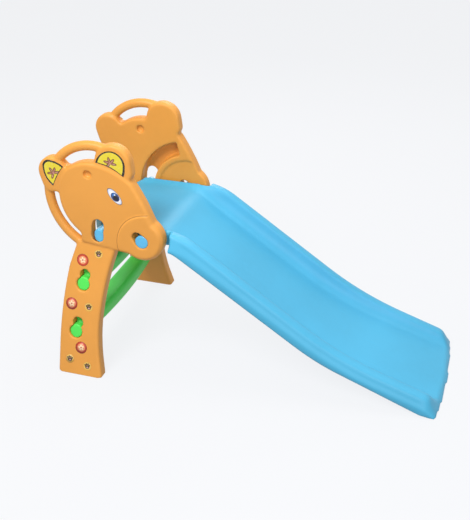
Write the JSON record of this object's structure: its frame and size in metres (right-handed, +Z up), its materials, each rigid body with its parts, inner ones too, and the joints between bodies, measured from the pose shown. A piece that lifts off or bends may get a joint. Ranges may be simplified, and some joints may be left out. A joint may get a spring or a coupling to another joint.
{
  "type": "toddler slide",
  "caption": "Folding indoor toddler slide: splayed animal-head side panels with carrying handles, steps hooked between the legs, and a hinged trough-shaped chute with a small platform.",
  "frame": {"origin": "middle of the footprint, on the floor", "axes": "+X the way a child slides, towards the chute's foot; +Y to the sliding child's left; +Z up"},
  "size_m": [1.0979, 0.5772, 0.6526],
  "materials": {
    "orange_plastic": "satin",
    "blue_plastic": "satin",
    "green_plastic": "satin",
    "blue_insert": "glossy",
    "eye_print": "printed film",
    "ear_print": "printed film",
    "number_print": "printed film",
    "animal_print": "printed film"
  },
  "bodies": {
    "frame": {"side_panel_left": "orange_plastic", "side_panel_right": "orange_plastic", "upper_step": "green_plastic", "lower_step": "green_plastic", "eye_sticker_left": "eye_print", "eye_sticker_right": "eye_print", "rear_ear_sticker_left": "ear_print", "rear_ear_sticker_right": "ear_print", "front_ear_sticker_left": "ear_print", "front_ear_sticker_right": "ear_print", "number_sticker_1_left": "number_print", "number_sticker_1_right": "number_print", "number_sticker_2_left": "number_print", "number_sticker_2_right": "number_print", "number_sticker_3_left": "number_print", "number_sticker_3_right": "number_print", "animal_sticker_1_left": "animal_print", "animal_sticker_1_right": "animal_print", "animal_sticker_2_left": "animal_print", "animal_sticker_2_right": "animal_print", "animal_sticker_3_left": "animal_print", "animal_sticker_3_right": "animal_print", "animal_sticker_4_left": "animal_print", "animal_sticker_4_right": "animal_print"},
    "slide": {"chute": "blue_plastic", "pivot_pin_left": "blue_insert", "pivot_pin_right": "blue_insert", "stop_knob_left": "blue_insert", "stop_knob_right": "blue_insert"}
  },
  "joints": [
    {"name": "chute_fold", "type": "hinge", "parent": "frame", "child": "slide", "pos_m": [-0.263, 0, 0.3935], "axis": [0, 1, 0], "range_deg": [0, 70]}
  ]
}
